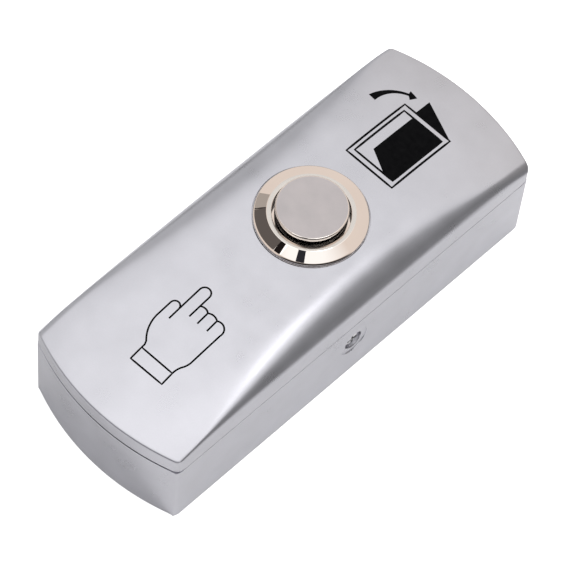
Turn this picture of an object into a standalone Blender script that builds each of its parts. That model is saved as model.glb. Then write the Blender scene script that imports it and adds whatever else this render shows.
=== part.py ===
"""Surface-mounted door exit button, built piece by piece at its real size.

Frame: metres, +Z up.  The origin is the centre of the back face that goes on the wall.
+Z points out of the wall, +Y runs along the length and +X across the width.
"""
import bmesh
import bpy
from math import asin, cos, pi, radians, sin, sqrt
from mathutils import Matrix

MM = 0.001

# Housing sizes
body_length = 83.0 * MM        # over the bowed ends
body_width = 31.5 * MM
end_bow = 3.0 * MM             # how far an end bows out past its two corners
cover_skirt = 3.7 * MM         # from the seam up to the edge that runs round the crown
crown_rise = 4.1 * MM          # crown above that edge at the middle
shoulder_width = 7.5 * MM      # rounded long shoulder, at its widest
corner_radius = 1.2 * MM       # upright corners
wall = 1.8 * MM                # die-cast wall of the box and the cover
floor_thickness = 2.0 * MM
foot_chamfer = 0.4 * MM
seam_height = 14.5 * MM        # where the cover meets the box
seam_gap = 0.2 * MM
fit_gap = 0.25 * MM            # clearance between pieces that seat on each other

# Locating lip and screw lugs of the cover
lip_depth = 2.2 * MM
lip_thickness = 1.1 * MM
lip_root = 1.7 * MM            # how far the lip's root reaches up behind the skirt
lug_width = 8.0 * MM
lug_thickness = 1.6 * MM
lug_tail = 3.0 * MM            # lug below the screw's axis
lug_nose = 0.6 * MM            # chamfer at the lug's foot
lug_below_lip = 0.3 * MM       # lug's top under the top of the lip

# Holes of the box
fixing_pitch = 60.0 * MM
fixing_hole_radius = 2.2 * MM
fixing_sink_radius = 4.2 * MM
fixing_sink_share = 0.6        # part of the sink's cone inside the floor
cable_hole_radius = 5.0 * MM
cable_hole_y = -14.0 * MM

# Side screws
side_screw_y = -0.4 * MM
side_screw_drop = 5.0 * MM     # axis below the seam
side_pad_thickness = 1.0 * MM  # pad inside the wall that takes the sunk head
side_pad_width = 6.8 * MM
side_pad_tail = 3.4 * MM       # pad below the screw's axis
side_shank_radius = 1.0 * MM
side_shank_past = 0.4 * MM     # tip beyond the lug
side_head_radius = 1.6 * MM
side_head_height = 0.9 * MM
side_head_edge = 0.2 * MM
side_recess_depth = 1.9 * MM
side_recess_gap = 0.3 * MM     # round the head
side_face_radius = 2.8 * MM    # shallow milled face round the recess
side_face_depth = 0.12 * MM
cross_width = 0.5 * MM
cross_length = 2.0 * MM
cross_depth = 0.5 * MM

# Switch, turned round its own axis
button_y = 4.65 * MM
flange_radius = 9.1 * MM
flange_edge = 0.8 * MM         # straight edge of the flange
flange_height = 1.55 * MM
flange_bevel = 0.2 * MM
flange_slope = 2.05 * MM       # sloped width between the flange's edge and the flat ring
ring_width = 0.8 * MM          # flat ring round the button
ring_edge = 0.15 * MM
seat_margin = 0.2 * MM         # spot face round the flange
seat_skim = 0.1 * MM           # spot face below the lowest point of the crown there
seat_bevel = 0.05 * MM
flange_overhang = 1.15 * MM    # flange beyond the threaded barrel
barrel_edge = 0.4 * MM
relief_depth = 0.55 * MM       # thread relief behind the flange
relief_length = 0.85 * MM
barrel_wall = 1.3 * MM
barrel_wall_below = 0.95 * MM  # where the bush and the base fit in
panel_hole_gap = 0.3 * MM
seal_radius = 0.35 * MM        # section of the seal ring
seal_gap = 0.2 * MM
panel_thickness = 2.0 * MM     # between the spot face and the nut's pad
pad_margin = 0.9 * MM          # pad beyond the washer
washer_gap = 0.3 * MM          # milled room round the washer
washer_width = 2.35 * MM       # washer beyond the barrel
washer_thickness = 0.6 * MM
washer_teeth = 12
tooth_length = 1.15 * MM
nut_wall = 1.55 * MM           # thinnest wall of the nut
nut_thickness = 2.5 * MM
nut_corner_share = 0.6         # how far down the corner cone of the nut reaches

# Button and plunger
button_travel = 1.5 * MM
cap_gap = 0.45 * MM            # round the cap
cap_proud = 1.45 * MM          # above the flat ring
cap_edge_radius = 0.45 * MM
cap_collar_gap = 0.3 * MM      # round the collar
cap_collar_thickness = 0.9 * MM
cap_top_thickness = 1.2 * MM
cap_wall = 1.1 * MM
lip_under_ring = 1.55 * MM     # barrel lip that holds the cap's collar
plunger_gap = 0.3 * MM         # round the plunger's head
plunger_edge = 0.3 * MM
plunger_head_height = 2.4 * MM
spring_pocket_depth = 1.4 * MM
spring_pocket_share = 0.79     # shares of the cap's bore
return_coil_share = 0.617
stem_share = 0.383
clip_share = 0.362
contact_coil_share = 0.277
stem_tip_share = 0.17
stem_gap = 0.3 * MM            # between the stem and the bush
return_wire_radius = 0.22 * MM
return_turns = 5
contact_wire_radius = 0.14 * MM
contact_turns = 3

# Switch base and contacts
bush_thickness = 1.2 * MM
bush_seat_depth = 0.4 * MM     # spring seat sunk into the bush
bush_seat_gap = 0.2 * MM
bridge_room = 2.65 * MM        # from the bridge up to the bush
base_flange_inset = 0.35 * MM  # base inside the barrel's outline
base_flange_height = 2.95 * MM
base_edge = 0.3 * MM
base_floor = 2.0 * MM
chamber_wall = 1.2 * MM
floor_clearance = 2.04 * MM    # from the divider down to the box's floor
contact_share = 0.61           # shares of the chamber's radius
contact_head_share = 0.17
strip_share = 0.56
bridge_share = 0.41
terminal_screw_share = 0.49
terminal_tab_share = 0.35      # inner end of the tab, as a share of the screw's place
terminal_head_share = 0.31
terminal_shank_share = 0.18
contact_head_height = 0.35 * MM
contact_edge = 0.1 * MM
contact_opening = 0.3 * MM     # how much the travel falls short of touching
rivet_shank_radius = 0.45 * MM
rivet_hole_gap = 0.2 * MM
bridge_thickness = 0.4 * MM
bridge_corner = 0.6 * MM
contact_spring_length = 1.8 * MM
clip_thickness = 0.4 * MM
clip_gap = 0.2 * MM
strip_thickness = 0.5 * MM     # terminal strip
terminal_head_height = 1.2 * MM
terminal_head_edge = 0.25 * MM
terminal_tip = 0.2 * MM
terminal_pocket_depth = 1.4 * MM
terminal_pocket_gap = 0.3 * MM
driver_slot_width = 0.5 * MM
driver_slot_depth = 0.5 * MM
clamp_thickness = 0.6 * MM
clamp_edge = 0.15 * MM
divider_thickness = 0.9 * MM
divider_height = 3.4 * MM
divider_inset = 0.4 * MM
divider_edge = 0.2 * MM

# How finely round pieces are faceted
turned_segments = 40
small_segments = 24
end_steps = 14
shell_grid = (12, 6, 28)       # columns over the crown, columns per shoulder, rows
inside_grid = (8, 4, 16)
overcut = 1.0 * MM             # how far a cutter reaches past the face that it cuts
overlap = 0.2 * MM             # how far joined bodies reach into each other

# Heights that follow from the sizes above
half_length = body_length / 2
half_width = body_width / 2
bow_radius = (half_width ** 2 + end_bow ** 2) / (2 * end_bow)
rim_height = seam_height + cover_skirt


def end_reach(x, inset=0.0):
    """Half length of the outline at x, for an outline set in by inset."""
    return half_length - bow_radius + sqrt((bow_radius - inset) ** 2 - x ** 2)


def crown_height(y):
    """Height of the crown on the centre line."""
    return rim_height + crown_rise * (1 - (y / half_length) ** 2)


seat_height = crown_height(abs(button_y) + flange_radius + seat_margin) - seat_skim
side_screw_z = seam_height - side_screw_drop
lip_top = seam_height + lip_root
lip_bottom = seam_height - lip_depth
lug_outer = half_width - wall - side_pad_thickness - fit_gap
lug_inner = lug_outer - lug_thickness

# Radii of the switch, from the flange inward
barrel_radius = flange_radius - flange_overhang
relief_radius = barrel_radius - relief_depth
barrel_bore_radius = barrel_radius - barrel_wall
bush_bore_radius = barrel_radius - barrel_wall_below
sleeve_radius = bush_bore_radius - fit_gap
ring_outer_radius = flange_radius - flange_slope
button_hole_radius = ring_outer_radius - ring_width
cap_radius = button_hole_radius - cap_gap
cap_collar_radius = barrel_bore_radius - cap_collar_gap
cap_bore_radius = cap_radius - cap_wall
plunger_head_radius = cap_bore_radius - plunger_gap
spring_pocket_radius = cap_bore_radius * spring_pocket_share
return_coil_radius = cap_bore_radius * return_coil_share
stem_radius = cap_bore_radius * stem_share
stem_tip_radius = cap_bore_radius * stem_tip_share
contact_coil_radius = cap_bore_radius * contact_coil_share
clip_radius = cap_bore_radius * clip_share
washer_radius = barrel_radius + washer_width
pad_radius = washer_radius + pad_margin
nut_flats = 2 * (barrel_radius + nut_wall)
base_flange_radius = barrel_radius - base_flange_inset
chamber_radius = sleeve_radius - chamber_wall

# Places of the contacts and terminals, from the switch's axis
contact_offset = chamber_radius * contact_share
contact_head_radius = chamber_radius * contact_head_share
strip_width = chamber_radius * strip_share
bridge_width = chamber_radius * bridge_share
terminal_screw_y = chamber_radius * terminal_screw_share
terminal_head_radius = chamber_radius * terminal_head_share
terminal_shank_radius = chamber_radius * terminal_shank_share
strip_outer = sqrt((chamber_radius - fit_gap) ** 2 - (strip_width / 2) ** 2)
strip_leg_y = strip_outer - strip_thickness / 2
strip_inner_end = contact_offset - contact_head_radius - overlap
strip_tab_end = terminal_screw_y * terminal_tab_share

# Heights of the switch, from the spot face
cap_collar_top = fit_gap + flange_height - lip_under_ring - fit_gap
cap_bottom = cap_collar_top - cap_collar_thickness
cap_top = fit_gap + flange_height + cap_proud
plunger_top = cap_top - cap_top_thickness - fit_gap
pocket_top = plunger_top - plunger_head_height + spring_pocket_depth
base_bottom = floor_thickness + floor_clearance + divider_height - seat_height
base_shoulder = base_bottom + base_flange_height
barrel_end = base_shoulder + fit_gap
chamber_floor = base_bottom + base_floor
strip_top = chamber_floor + fit_gap + strip_thickness
fixed_contact_top = strip_top + fit_gap + contact_head_height
bridge_bottom = fixed_contact_top + button_travel + contact_opening + contact_head_height
bridge_top = bridge_bottom + bridge_thickness
bush_bottom = bridge_top + bridge_room
bush_top = bush_bottom + bush_thickness
bush_seat = bush_top - bush_seat_depth
base_top = bush_bottom - fit_gap
stem_shoulder = bridge_top + contact_spring_length + 2 * fit_gap
clip_top = bridge_bottom - fit_gap
clip_bottom = clip_top - clip_thickness
tab_top = base_bottom - fit_gap
tab_bottom = tab_top - strip_thickness
clamp_top = tab_bottom - fit_gap
clamp_bottom = clamp_top - clamp_thickness
screw_head_top = clamp_bottom - fit_gap
washer_top = -panel_thickness - fit_gap
nut_top = washer_top - washer_thickness - fit_gap
nut_bottom = nut_top - nut_thickness


def clear_scene():
    for obj in list(bpy.data.objects):
        bpy.data.objects.remove(obj, do_unlink=True)


def material(name, colour, metallic, roughness):
    mat = bpy.data.materials.get(name) or bpy.data.materials.new(name)
    mat.use_nodes = True
    shader = mat.node_tree.nodes["Principled BSDF"]
    shader.inputs["Base Color"].default_value = (*colour, 1.0)
    shader.inputs["Metallic"].default_value = metallic
    shader.inputs["Roughness"].default_value = roughness
    mat.diffuse_color = (*colour, 1.0)
    return mat


def add_object(name, bm, mat=None, parent=None, location=(0, 0, 0), rotation=(0, 0, 0), sharp=35):
    """Turn a bmesh into a named object, shaded smooth with sharp edges kept."""
    bmesh.ops.recalc_face_normals(bm, faces=bm.faces)
    mesh = bpy.data.meshes.new(name)
    bm.to_mesh(mesh)
    bm.free()
    mesh.shade_smooth()
    mesh.set_sharp_from_angle(angle=radians(sharp))
    obj = bpy.data.objects.new(name, mesh)
    bpy.context.collection.objects.link(obj)
    if mat:
        mesh.materials.append(mat)
    obj.parent = parent
    obj.location = location
    obj.rotation_euler = rotation
    return obj


def add_empty(name, location, parent=None):
    empty = bpy.data.objects.new(name, None)
    bpy.context.collection.objects.link(empty)
    empty.location = location
    empty.parent = parent
    return empty


def combine(target, tool, operation):
    """Boolean the tool object into the target; the tool stays as a hidden wire guide."""
    tool.hide_render = True
    tool.display_type = "WIRE"
    modifier = target.modifiers.new(tool.name, "BOOLEAN")
    modifier.operation = operation
    modifier.solver = "EXACT"
    modifier.object = tool


def turned(profile, segments=turned_segments):
    """Revolve a closed outline of (radius, height) points about Z."""
    bm = bmesh.new()
    verts = [bm.verts.new((r, 0.0, z)) for r, z in profile]
    edges = [bm.edges.new((verts[i - 1], verts[i])) for i in range(len(verts))]
    bmesh.ops.spin(bm, geom=verts + edges, cent=(0, 0, 0), axis=(0, 0, 1),
                   angle=2 * pi, steps=segments, use_merge=True)
    bmesh.ops.remove_doubles(bm, verts=bm.verts, dist=1e-7)
    loose = [edge for edge in bm.edges if not edge.link_faces]
    bmesh.ops.delete(bm, geom=loose, context="EDGES")
    return bm


def disc(radius, bottom, top, segments=small_segments):
    """A plain round bar, for cutters and rivets."""
    bm = bmesh.new()
    bmesh.ops.create_cone(bm, cap_ends=True, segments=segments, radius1=radius, radius2=radius,
                          depth=top - bottom)
    bmesh.ops.translate(bm, verts=bm.verts, vec=(0, 0, (top + bottom) / 2))
    return bm


def block(low, high, bevel=0.0, upright_only=False):
    """A box between two corners, with its edges rounded."""
    bm = bmesh.new()
    bmesh.ops.create_cube(bm, size=1.0)
    for vert in bm.verts:
        for axis in range(3):
            vert.co[axis] = high[axis] if vert.co[axis] > 0 else low[axis]
    if bevel:
        edges = [e for e in bm.edges if not upright_only or is_upright(e)]
        bmesh.ops.bevel(bm, geom=edges, offset=bevel, segments=2, profile=0.5, affect="EDGES")
    return bm


def is_upright(edge):
    a, b = (vert.co for vert in edge.verts)
    return abs(a.x - b.x) < 1e-7 and abs(a.y - b.y) < 1e-7


def plate(outline, bottom, top, holes=()):
    """Extrude a flat outline with holes, all given as (x, y) loops."""
    bm = bmesh.new()
    edges = []
    for loop in (outline, *holes):
        verts = [bm.verts.new((x, y, bottom)) for x, y in loop]
        edges += [bm.edges.new((verts[i - 1], verts[i])) for i in range(len(verts))]
    face = bmesh.ops.triangle_fill(bm, use_beauty=True, use_dissolve=False, edges=edges)
    faces = [item for item in face["geom"] if isinstance(item, bmesh.types.BMFace)]
    raised = bmesh.ops.extrude_face_region(bm, geom=faces)
    lifted = [item for item in raised["geom"] if isinstance(item, bmesh.types.BMVert)]
    bmesh.ops.translate(bm, verts=lifted, vec=(0, 0, top - bottom))
    return bm


def circle(radius, count, centre=(0.0, 0.0)):
    return [(centre[0] + radius * cos(2 * pi * i / count), centre[1] + radius * sin(2 * pi * i / count))
            for i in range(count)]


def arc(centre, radius, start, end, steps):
    """Points of an arc in a turned outline, angles in degrees."""
    return [(centre[0] + radius * cos(radians(start + (end - start) * i / steps)),
             centre[1] + radius * sin(radians(start + (end - start) * i / steps)))
            for i in range(steps + 1)]


def round_corners(bm, inset):
    """Round the four upright corner edges of a housing outline."""
    x = half_width - inset
    y = end_reach(x, inset)
    corners = [e for e in bm.edges if is_upright(e) and abs(abs(e.verts[0].co.x) - x) < 1e-6
               and abs(abs(e.verts[0].co.y) - y) < 1e-6]
    radius = max(corner_radius - inset, 0.4 * MM)
    bmesh.ops.bevel(bm, geom=corners, offset=radius, segments=3, profile=0.5, affect="EDGES")


def outline_block(inset, bottom, top, chamfer=0.0):
    """A block with the housing's outline: straight sides and bowed ends."""
    x = half_width - inset
    across = [-x + 2 * x * i / end_steps for i in range(end_steps + 1)]
    loop = [(px, -end_reach(px, inset)) for px in across]
    loop += [(px, end_reach(px, inset)) for px in reversed(across)]
    bm = plate(loop, bottom, top)
    round_corners(bm, inset)
    if chamfer:
        bmesh.ops.recalc_face_normals(bm, faces=bm.faces)
        foot = [e for e in bm.edges if all(abs(v.co.z - bottom) < 1e-7 for v in e.verts)
                and any(abs(f.normal.z) < 0.5 for f in e.link_faces)]
        bmesh.ops.bevel(bm, geom=foot, offset=chamfer, segments=1, profile=0.5, affect="EDGES")
    return bm


def crown_point(across, along, inset, middle, sides):
    """Point of the crown at a column number and at -1 to 1 along the length.

    The crown is an arch over the length that meets a rounded shoulder on each side.
    They cross in a crease that is sharp at the ends and fades out at mid length.
    """
    x_edge = half_width - inset
    shoulder = shoulder_width - inset
    rim = rim_height - inset
    crease = asin(min(1.0, abs(along) * sqrt(2 - along ** 2)))
    x_crease = x_edge - shoulder + shoulder * sin(crease)
    from_middle = across - (middle / 2 + sides)
    if abs(from_middle) <= middle / 2:
        x = x_crease * from_middle / (middle / 2)
        z = rim + crown_rise * (1 - along ** 2)
    else:
        part = (abs(from_middle) - middle / 2) / sides
        angle = crease + (pi / 2 - crease) * part
        side = 1 if from_middle > 0 else -1
        x = side * (x_edge - shoulder + shoulder * sin(angle))
        z = rim + crown_rise * cos(angle)
    return x, along * end_reach(x, inset), z


def crown_block(inset, bottom, grid):
    """A closed block with the housing's outline and crowned top."""
    middle, sides, rows = grid
    bm = bmesh.new()
    columns = middle + 2 * sides
    bmesh.ops.create_grid(bm, x_segments=columns, y_segments=rows, size=1.0)
    for vert in bm.verts:
        column = round((vert.co.x + 1) / 2 * columns)
        vert.co = crown_point(column, round(vert.co.y * rows / 2) / rows * 2, inset, middle, sides)
    bmesh.ops.remove_doubles(bm, verts=bm.verts, dist=1e-6)
    border = [edge for edge in bm.edges if edge.is_boundary]
    skirt = bmesh.ops.extrude_edge_only(bm, edges=border)
    for item in skirt["geom"]:
        if isinstance(item, bmesh.types.BMVert):
            item.co.z = bottom
    rim = [edge for edge in bm.edges if edge.is_boundary]
    bmesh.ops.contextual_create(bm, geom=rim)
    round_corners(bm, inset)
    curved = [face for face in bm.faces if all(vert.co.z > bottom for vert in face.verts)]
    bmesh.ops.triangulate(bm, faces=curved)
    return bm


def build_base_box(mat):
    """Die-cast box that is screwed to the wall."""
    box = add_object("base_box", outline_block(0.0, 0.0, seam_height, foot_chamfer), mat)
    inside = outline_block(wall, floor_thickness, seam_height + overcut)
    combine(box, add_object("box_inside", inside), "DIFFERENCE")
    for side in (-1, 1):
        sink_depth = fixing_sink_radius - fixing_hole_radius
        sink = turned([(0, -overcut), (fixing_hole_radius, -overcut),
                       (fixing_hole_radius, floor_thickness - sink_depth * fixing_sink_share),
                       (fixing_sink_radius, floor_thickness + sink_depth * (1 - fixing_sink_share)),
                       (fixing_sink_radius, floor_thickness + sink_depth),
                       (0, floor_thickness + sink_depth)], small_segments)
        hole = add_object("fixing_hole_cut", sink, location=(0, side * fixing_pitch / 2, 0))
        combine(box, hole, "DIFFERENCE")
        build_screw_seat(box, side)
    entry = disc(cable_hole_radius, -overcut, floor_thickness + overcut, turned_segments)
    combine(box, add_object("cable_hole_cut", entry, location=(0, cable_hole_y, 0)), "DIFFERENCE")
    return box


def build_screw_seat(box, side):
    """Pad on the inside of a long wall, with the stepped hole that sinks the screw's head."""
    inner = half_width - wall - side_pad_thickness
    root = half_width - wall / 2
    low = (min(side * inner, side * root), side_screw_y - side_pad_width / 2, side_screw_z - side_pad_tail)
    high = (max(side * inner, side * root), side_screw_y + side_pad_width / 2, lip_bottom - fit_gap)
    combine(box, add_object("side_pad_body", block(low, high)), "UNION")
    hole = side_shank_radius + fit_gap
    mouth = side_head_radius + side_recess_gap
    seat = -side_recess_depth
    through = -wall - side_pad_thickness - overcut
    recess = turned([(0, through), (hole, through), (hole, seat), (mouth, seat), (mouth, -side_face_depth),
                     (side_face_radius, -side_face_depth), (side_face_radius, overcut), (0, overcut)],
                    small_segments)
    cut = add_object("side_recess_cut", recess, rotation=(0, side * pi / 2, 0),
                     location=(side * half_width, side_screw_y, side_screw_z))
    combine(box, cut, "DIFFERENCE")


def screw_lug(side):
    """Lug that hangs from the lip for a side screw; its root is let into the lip."""
    root = half_width - wall - fit_gap - lip_thickness / 2
    bottom = side_screw_z - lug_tail
    top = lip_top - lug_below_lip
    step = lip_bottom + overlap
    profile = [(lug_inner + lug_nose, bottom), (lug_outer - lug_nose / 2, bottom),
               (lug_outer, bottom + lug_nose), (lug_outer, step), (root, step), (root, top),
               (lug_inner + lug_nose, top), (lug_inner, top - lug_nose), (lug_inner, bottom + lug_nose)]
    bm = plate([(side * x, z) for x, z in profile], -lug_width / 2, lug_width / 2)
    bmesh.ops.rotate(bm, verts=bm.verts, matrix=Matrix.Rotation(pi / 2, 3, "X"))
    bmesh.ops.translate(bm, verts=bm.verts, vec=(0, side_screw_y, 0))
    return bm


def build_cover(mat):
    """Die-cast crowned cover with its locating lip, screw lugs and switch hole."""
    cover = add_object("cover_shell", crown_block(0.0, seam_height + seam_gap, shell_grid), mat)
    lip_inset = wall + fit_gap
    lip = outline_block(lip_inset, lip_bottom, lip_top + overlap)
    combine(cover, add_object("lip_body", lip), "UNION")
    hollow = crown_block(wall, lip_top, inside_grid)
    combine(cover, add_object("cover_inside", hollow), "DIFFERENCE")
    throat = outline_block(lip_inset + lip_thickness, lip_bottom - overcut, lip_top + overlap / 2)
    combine(cover, add_object("lip_inside", throat), "DIFFERENCE")
    for side in (-1, 1):
        combine(cover, add_object("lug_body", screw_lug(side)), "UNION")
    pad = disc(pad_radius, seat_height - panel_thickness, seat_height - overlap, turned_segments)
    combine(cover, add_object("nut_pad_body", pad, location=(0, button_y, 0)), "UNION")
    hole = barrel_radius + panel_hole_gap
    sink = flange_radius - hole
    face = flange_radius + seat_margin
    room = washer_radius + washer_gap
    cut = turned([(0, nut_bottom), (room, nut_bottom), (room, -panel_thickness),
                  (hole, -panel_thickness), (hole, -sink), (hole + sink - seat_bevel, 0),
                  (face, 0), (face, crown_rise), (0, crown_rise)])
    combine(cover, add_object("switch_hole_cut", cut, location=(0, button_y, seat_height)), "DIFFERENCE")
    bore = disc(side_shank_radius + fit_gap, -lug_outer - overlap, lug_outer + overlap)
    combine(cover, add_object("lug_hole_cut", bore, rotation=(0, pi / 2, 0),
                              location=(0, side_screw_y, side_screw_z)), "DIFFERENCE")
    return cover


def build_side_screws(mat):
    """One screw sunk in each long side; each holds the cover by its lug."""
    seat = half_width - side_recess_depth + fit_gap
    shank = seat - lug_inner + side_shank_past
    for name, side in (("side_screw_right", 1), ("side_screw_left", -1)):
        profile = [(0, -shank), (side_shank_radius - side_head_edge, -shank),
                   (side_shank_radius, -shank + side_head_edge), (side_shank_radius, 0),
                   (side_head_radius, 0), (side_head_radius, side_head_height - side_head_edge),
                   (side_head_radius - side_head_edge, side_head_height), (0, side_head_height)]
        screw = add_object(name, turned(profile, small_segments), mat, rotation=(0, side * pi / 2, 0),
                           location=(side * seat, side_screw_y, side_screw_z))
        for turn in (0, 1):
            size = (cross_length, cross_width) if turn else (cross_width, cross_length)
            arm = block((-size[0] / 2, -size[1] / 2, side_head_height - cross_depth),
                        (size[0] / 2, size[1] / 2, side_head_height + overcut))
            combine(screw, add_object("cross_cut", arm, parent=screw), "DIFFERENCE")


def build_switch_body(axis, steel, black, zinc):
    """Turned barrel with its flange, the seal under it, and the washer and nut behind the cover."""
    under = fit_gap
    ring_top = under + flange_height
    lip_under = ring_top - lip_under_ring
    step = bush_top + fit_gap
    profile = [
        (button_hole_radius, lip_under), (button_hole_radius, ring_top - ring_edge),
        (button_hole_radius + ring_edge, ring_top), (ring_outer_radius, ring_top),
        (flange_radius - flange_bevel, under + flange_edge),
        (flange_radius, under + flange_edge - flange_bevel), (flange_radius, under),
        (relief_radius, under), (relief_radius, -relief_length),
        (barrel_radius, -relief_length), (barrel_radius, barrel_end + barrel_edge),
        (barrel_radius - barrel_edge, barrel_end), (bush_bore_radius, barrel_end),
        (bush_bore_radius, step), (barrel_bore_radius, step), (barrel_bore_radius, lip_under),
    ]
    add_object("switch_barrel", turned(profile), steel, axis)
    seal_centre = (relief_radius + seal_gap + seal_radius, under - seal_gap - seal_radius)
    seal = turned(arc(seal_centre, seal_radius, 0, 300, 5))
    add_object("flange_seal", seal, black, axis, sharp=80)
    build_washer_and_nut(axis, steel, zinc)


def build_washer_and_nut(axis, steel, zinc):
    """Toothed lock washer and hexagon nut under the cover's pad."""
    tooth_tip = barrel_radius + panel_hole_gap
    tooth_root = tooth_tip + tooth_length
    tooth = ((-0.28, tooth_root), (-0.2, tooth_tip), (0.2, tooth_tip), (0.28, tooth_root))
    inner = []
    for i in range(washer_teeth):
        for offset, radius in tooth:
            angle = 2 * pi * (i + offset) / washer_teeth
            inner.append((radius * cos(angle), radius * sin(angle)))
    rim = circle(washer_radius, turned_segments)
    washer = plate(rim, washer_top - washer_thickness, washer_top, [inner])
    add_object("lock_washer", washer, steel, axis)
    corner = nut_flats / sqrt(3)
    outline = [(corner * cos(pi / 6 + pi / 3 * i), corner * sin(pi / 6 + pi / 3 * i)) for i in range(6)]
    hole = circle(barrel_radius + fit_gap, turned_segments)
    nut = add_object("hex_nut", plate(outline, nut_bottom, nut_top, [hole]), zinc, axis)
    drop = (corner - nut_flats / 2) * nut_corner_share
    past = corner + overlap
    cone = turned([(0, nut_bottom), (nut_flats / 2, nut_bottom), (past, nut_bottom + drop),
                   (past, nut_top - drop), (nut_flats / 2, nut_top), (0, nut_top)])
    combine(nut, add_object("nut_corner_cone", cone, parent=axis), "INTERSECT")


def build_button(press, steel, plastic, spring_wire, copper):
    """The moving stack: cap, plunger, bridging contact, its spring and its clip."""
    cap_profile = [
        (0, cap_top - cap_top_thickness), (cap_bore_radius, cap_top - cap_top_thickness),
        (cap_bore_radius, cap_bottom), (cap_collar_radius, cap_bottom),
        (cap_collar_radius, cap_collar_top), (cap_radius, cap_collar_top),
    ]
    edge = (cap_radius - cap_edge_radius, cap_top - cap_edge_radius)
    cap_profile += arc(edge, cap_edge_radius, 0, 90, 4) + [(0, cap_top)]
    add_object("button_cap", turned(cap_profile), steel, press)
    head_bottom = plunger_top - plunger_head_height
    plunger_profile = [
        (0, clip_bottom - fit_gap), (stem_tip_radius, clip_bottom - fit_gap),
        (stem_tip_radius, stem_shoulder), (stem_radius, stem_shoulder), (stem_radius, pocket_top),
        (spring_pocket_radius, pocket_top), (spring_pocket_radius, head_bottom),
        (plunger_head_radius, head_bottom), (plunger_head_radius, plunger_top - plunger_edge),
        (plunger_head_radius - plunger_edge, plunger_top), (0, plunger_top),
    ]
    add_object("plunger_stem", turned(plunger_profile, small_segments), plastic, press)
    half_bridge = contact_offset + contact_head_radius
    strip = block((-bridge_width / 2, -half_bridge, bridge_bottom),
                  (bridge_width / 2, half_bridge, bridge_top), bridge_corner, upright_only=True)
    bridge = add_object("moving_contact", strip, copper, press)
    for side in (-1, 1):
        point = disc(contact_head_radius, bridge_bottom - contact_head_height, bridge_top - overlap)
        tool = add_object("bridge_point", point, parent=press, location=(0, side * contact_offset, 0))
        combine(bridge, tool, "UNION")
    bore = disc(stem_tip_radius + fit_gap, bridge_bottom - overcut, bridge_top + overcut)
    combine(bridge, add_object("bridge_hole_cut", bore, parent=press), "DIFFERENCE")
    add_spring("contact_spring", press, spring_wire, contact_coil_radius, contact_wire_radius,
               bridge_top + fit_gap, stem_shoulder - fit_gap, contact_turns, 12)
    clip = plate(circle(clip_radius, small_segments), clip_bottom, clip_top,
                 [circle(stem_tip_radius + clip_gap, small_segments)])
    clip_object = add_object("contact_clip", clip, spring_wire, press)
    mouth = block((0, -stem_tip_radius, clip_bottom - overcut),
                  (clip_radius + overcut, stem_tip_radius, clip_top + overcut))
    combine(clip_object, add_object("clip_mouth_cut", mouth, parent=press), "DIFFERENCE")


def add_spring(name, parent, mat, coil_radius, wire_radius, bottom, top, turns, per_turn):
    """A compression spring whose end turns lie flat, as a curve with a round bevel."""
    curve = bpy.data.curves.new(name, "CURVE")
    curve.dimensions = "3D"
    curve.bevel_depth = wire_radius
    curve.bevel_resolution = 1
    curve.use_fill_caps = True
    spline = curve.splines.new("POLY")
    count = turns * per_turn
    spline.points.add(count)
    low = bottom + wire_radius
    high = top - wire_radius
    flat = 2.4 * wire_radius / (high - low)
    for i in range(count + 1):
        turn = i / per_turn
        angle = 2 * pi * turn
        if turn < 1:
            rise = flat * turn
        elif turn > turns - 1:
            rise = 1 - flat * (turns - turn)
        else:
            rise = flat + (1 - 2 * flat) * (turn - 1) / (turns - 2)
        spline.points[i].co = (coil_radius * cos(angle), coil_radius * sin(angle),
                               low + (high - low) * rise, 1)
    curve.materials.append(mat)
    spring = bpy.data.objects.new(name, curve)
    bpy.context.collection.objects.link(spring)
    spring.parent = parent
    return spring


def build_guide(axis, plastic, spring_wire):
    """Bush that guides the stem and seats the return spring."""
    hole = stem_radius + stem_gap
    seat_radius = spring_pocket_radius + bush_seat_gap
    profile = [(hole, bush_bottom), (sleeve_radius, bush_bottom), (sleeve_radius, bush_top),
               (seat_radius + bush_seat_depth, bush_top), (seat_radius, bush_seat), (hole, bush_seat)]
    add_object("guide_bush", turned(profile), plastic, axis)
    add_spring("return_spring", axis, spring_wire, return_coil_radius, return_wire_radius,
               bush_seat + fit_gap, pocket_top - fit_gap, return_turns, 16)


def build_switch_base(axis, plastic):
    """Moulded cup that closes the barrel and carries the terminals."""
    profile = [(0, chamber_floor), (chamber_radius, chamber_floor), (chamber_radius, base_top),
               (sleeve_radius, base_top), (sleeve_radius, base_shoulder),
               (base_flange_radius, base_shoulder), (base_flange_radius, base_bottom + base_edge),
               (base_flange_radius - base_edge, base_bottom), (0, base_bottom)]
    base = add_object("switch_base", turned(profile), plastic, axis)
    reach = sqrt(base_flange_radius ** 2 - (divider_thickness / 2) ** 2) - divider_inset
    divider = block((-reach, -divider_thickness / 2, base_bottom - divider_height),
                    (reach, divider_thickness / 2, base_bottom + overcut), divider_edge)
    combine(base, add_object("divider_body", divider, parent=axis), "UNION")
    for side in (-1, 1):
        slot = block((-strip_width / 2 - fit_gap, -strip_thickness / 2 - fit_gap, base_bottom - overcut),
                     (strip_width / 2 + fit_gap, strip_thickness / 2 + fit_gap, chamber_floor + overlap))
        combine(base, add_object("leg_slot_cut", slot, parent=axis, location=(0, side * strip_leg_y, 0)),
                "DIFFERENCE")
        pocket = disc(terminal_shank_radius + terminal_pocket_gap, base_bottom - overlap,
                      base_bottom + terminal_pocket_depth)
        combine(base, add_object("screw_pocket_cut", pocket, parent=axis,
                                 location=(0, side * terminal_screw_y, 0)), "DIFFERENCE")


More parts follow.
